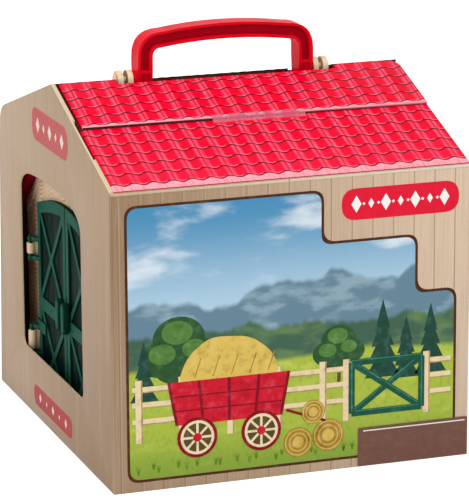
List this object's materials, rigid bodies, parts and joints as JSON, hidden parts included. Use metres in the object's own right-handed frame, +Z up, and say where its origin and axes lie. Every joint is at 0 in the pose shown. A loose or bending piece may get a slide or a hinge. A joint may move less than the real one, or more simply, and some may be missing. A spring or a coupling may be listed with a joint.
{
  "type": "toy stable",
  "caption": "Toy stable of two hinged halves with double doors and a carrying handle, inside its house-shaped display carton with a door window and a ridge slot.",
  "frame": {"origin": "middle of the carton's footprint, on the surface that it stands on", "axes": "+X from the door end to the window end, along the ridge; +Y from the front wall to the back wall; +Z up"},
  "size_m": [0.27, 0.3034, 0.3075],
  "materials": {
    "printed_board": "matt printed board with fine pale brown board lines",
    "tile_print_board": "board printed with red roof tiles, slight sheen",
    "seal_film": "thin milky closing film",
    "cream_plastic": "cream moulding with wood grain",
    "straw_plastic": "straw yellow moulding",
    "red_plastic": "red moulding with tile courses",
    "green_plastic": "dark green moulding with plank grooves",
    "handle_plastic": "glossy red moulding"
  },
  "bodies": {
    "front_half": {"front_floor": "straw_plastic", "front_side_wall": "cream_plastic", "front_door_end": "cream_plastic", "front_window_end": "cream_plastic", "front_roof": "red_plastic", "front_skylight": "red_plastic", "front_ridge_beam": "cream_plastic", "hinge_pin": "cream_plastic"},
    "rear_half": {"rear_floor": "straw_plastic", "rear_side_wall": "cream_plastic", "rear_door_end": "cream_plastic", "rear_window_end": "cream_plastic", "rear_roof": "red_plastic", "rear_skylight": "red_plastic", "rear_ridge_beam": "cream_plastic"},
    "front_door": {"front_door_leaf": "green_plastic", "front_door_pull": "green_plastic"},
    "rear_door": {"rear_door_leaf": "green_plastic", "rear_door_pull": "green_plastic"},
    "handle": {"carry_handle": "handle_plastic", "handle_pin_left": "cream_plastic", "handle_pin_right": "cream_plastic"},
    "carton": {"carton_front_wall": "printed_board", "carton_back_wall": "printed_board", "carton_door_end": "printed_board", "carton_plain_end": "printed_board", "carton_front_slope": "tile_print_board", "carton_back_slope": "tile_print_board"},
    "closing_flap": {"ridge_flap": "tile_print_board", "seal_label": "seal_film"}
  },
  "joints": [
    {"name": "carton_lift", "type": "slide", "parent": "front_half", "child": "carton", "axis": [0, 0, 1], "range_m": [0, 0.33]},
    {"name": "flap_lift", "type": "hinge", "parent": "carton", "child": "closing_flap", "pos_m": [0, -0.0083, 0.2682], "axis": [-1, 0, 0], "range_deg": [0, 80]},
    {"name": "handle_swing", "type": "hinge", "parent": "front_half", "child": "handle", "pos_m": [-0.001, 0, 0.266], "axis": [-1, 0, 0], "range_deg": [-40, 70]},
    {"name": "rear_half_swing", "type": "hinge", "parent": "front_half", "child": "rear_half", "pos_m": [0.1274, 0, 0], "axis": [0, 0, -1], "range_deg": [0, 2]},
    {"name": "front_door_swing", "type": "hinge", "parent": "front_half", "child": "front_door", "pos_m": [-0.129, -0.078, 0.09], "axis": [0, 0, 1], "range_deg": [0, 6]},
    {"name": "rear_door_swing", "type": "hinge", "parent": "rear_half", "child": "rear_door", "pos_m": [-0.129, 0.078, 0.09], "axis": [0, 0, -1], "range_deg": [0, 6]}
  ]
}
